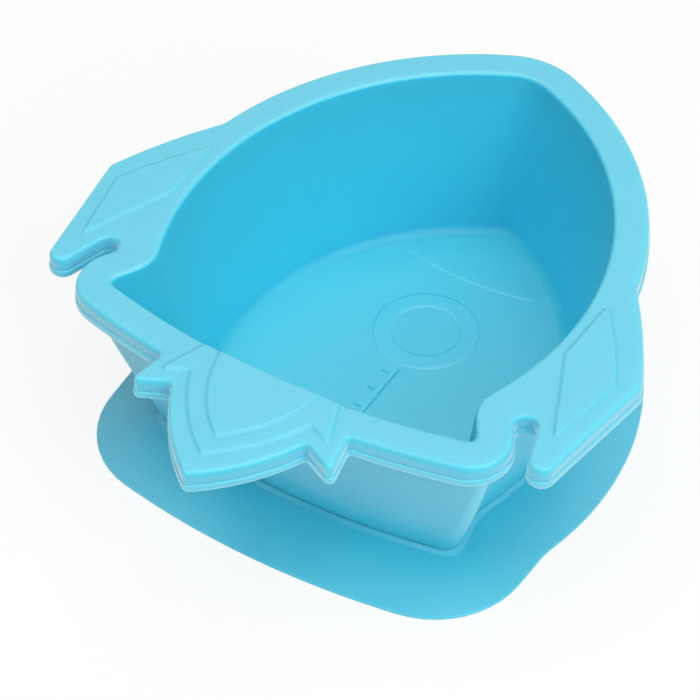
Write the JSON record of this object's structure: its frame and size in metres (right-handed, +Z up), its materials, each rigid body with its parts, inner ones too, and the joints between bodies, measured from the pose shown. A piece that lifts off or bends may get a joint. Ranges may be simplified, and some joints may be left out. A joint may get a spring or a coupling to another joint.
{
  "type": "suction bowl",
  "caption": "Rocket-shaped silicone feeding bowl with a flat finned rim and raised flame tail, bonded to a thin suction base that flexes to grip a table.",
  "frame": {"origin": "on the table, under the middle of the bowl's length and width", "axes": "+Z up from the table, +Y from the flame to the nose of the rocket, X across the fins"},
  "size_m": [0.1506, 0.1721, 0.0554],
  "materials": {
    "bowl_silicone": "matte moulded silicone",
    "base_silicone": "satin moulded silicone",
    "adhesive": "cured clear"
  },
  "bodies": {
    "base": {"suction_base": "base_silicone"},
    "bowl": {"bowl_shell": "bowl_silicone", "bond_film": "adhesive"}
  },
  "joints": [
    {"name": "suction_press", "type": "slide", "parent": "base", "child": "bowl", "axis": [0, 0, 1], "range_m": [-0.0016, 0], "stiffness_N_per_m": 4000, "deforming": ["suction_base"]}
  ]
}
